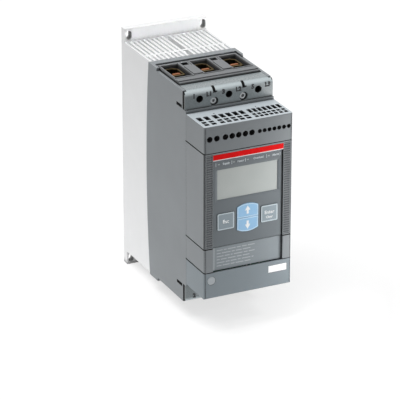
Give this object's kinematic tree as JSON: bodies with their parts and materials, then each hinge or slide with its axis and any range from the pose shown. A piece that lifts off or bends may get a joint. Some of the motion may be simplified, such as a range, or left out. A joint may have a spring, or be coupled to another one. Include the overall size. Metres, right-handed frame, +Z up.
{
  "type": "soft starter",
  "caption": "Panel-mounted motor soft starter: finned heat sink with slotted ears, grey moulded housing, power terminals at both ends, control box with display and keys.",
  "frame": {"origin": "middle of the mounting plane, on the back face of the heat sink plate", "axes": "+X to the right seen from the front, +Y out of the back into the mounting panel, +Z up"},
  "size_m": [0.09, 0.1865, 0.245],
  "materials": {
    "raw_aluminium": "satin, fine extrusion lines",
    "grey_plastic": "fine spark-eroded grain",
    "shroud_plastic": "matt",
    "bright_steel": "bright zinc",
    "clamp_brass": "yellow passivated",
    "bar_copper": "bare copper",
    "module_plastic": "moulded",
    "insulator_red": "moulded",
    "relay_blue": "moulded",
    "board_green": "lacquered board",
    "block_green": "moulded",
    "panel_grey": "satin film",
    "strip_red": "satin",
    "window_clear": "clear",
    "display_pale": "pale reflective display",
    "lamp_clear": "diffuse",
    "key_grey": "satin",
    "key_blue": "satin",
    "switch_black": "moulded",
    "plate_grey": "satin sheet",
    "marker_white": "blank"
  },
  "bodies": {
    "unit": {"heat_sink": "raw_aluminium", "base_housing": "grey_plastic", "line_terminal_shroud": "shroud_plastic", "load_terminal_shroud": "shroud_plastic", "line_terminal_cover": "grey_plastic", "load_terminal_cover": "grey_plastic", "line_cover_screws": "bright_steel", "load_cover_screws": "bright_steel", "line_clamp_1": "clamp_brass", "line_clamp_2": "clamp_brass", "line_clamp_3": "clamp_brass", "load_clamp_1": "clamp_brass", "load_clamp_2": "clamp_brass", "load_clamp_3": "clamp_brass", "line_clamp_screws": "bright_steel", "load_clamp_screws": "bright_steel", "line_busbar_1": "bar_copper", "line_busbar_3": "bar_copper", "load_busbar_1": "bar_copper", "load_busbar_3": "bar_copper", "through_busbar_2": "bar_copper", "thyristor_module_1": "module_plastic", "thyristor_module_3": "module_plastic", "busbar_insulator": "insulator_red", "module_screws": "bright_steel", "busbar_screws": "bright_steel", "bypass_relay_1": "relay_blue", "bypass_relay_3": "relay_blue", "current_transformer_1": "relay_blue", "current_transformer_3": "relay_blue", "power_board": "board_green", "board_connector": "module_plastic", "control_board": "board_green", "board_screws": "bright_steel", "housing_screws": "bright_steel", "wiring_cover": "grey_plastic", "relay_terminal_block": "block_green", "signal_terminal_block": "block_green", "relay_terminal_screws": "bright_steel", "signal_terminal_screws": "bright_steel", "operator_housing": "grey_plastic", "operator_panel": "panel_grey", "colour_strip": "strip_red", "display_window": "window_clear", "display_module": "display_pale", "display_board": "board_green", "status_lamps": "lamp_clear", "key_switches": "switch_black", "label_band": "grey_plastic", "rating_plate": "plate_grey", "lower_cover": "grey_plastic", "marker_plate": "marker_white"},
    "exit_key": {"exit_key": "key_grey"},
    "up_key": {"up_key": "key_blue"},
    "down_key": {"down_key": "key_blue"},
    "select_key": {"select_key": "key_grey"}
  },
  "joints": [
    {"name": "exit_key_press", "type": "slide", "parent": "unit", "child": "exit_key", "axis": [0, 1, 0], "range_m": [0, 0.0008], "stiffness_N_per_m": 250},
    {"name": "up_key_press", "type": "slide", "parent": "unit", "child": "up_key", "axis": [0, 1, 0], "range_m": [0, 0.0008], "stiffness_N_per_m": 250},
    {"name": "down_key_press", "type": "slide", "parent": "unit", "child": "down_key", "axis": [0, 1, 0], "range_m": [0, 0.0008], "stiffness_N_per_m": 250},
    {"name": "select_key_press", "type": "slide", "parent": "unit", "child": "select_key", "axis": [0, 1, 0], "range_m": [0, 0.0008], "stiffness_N_per_m": 250}
  ]
}
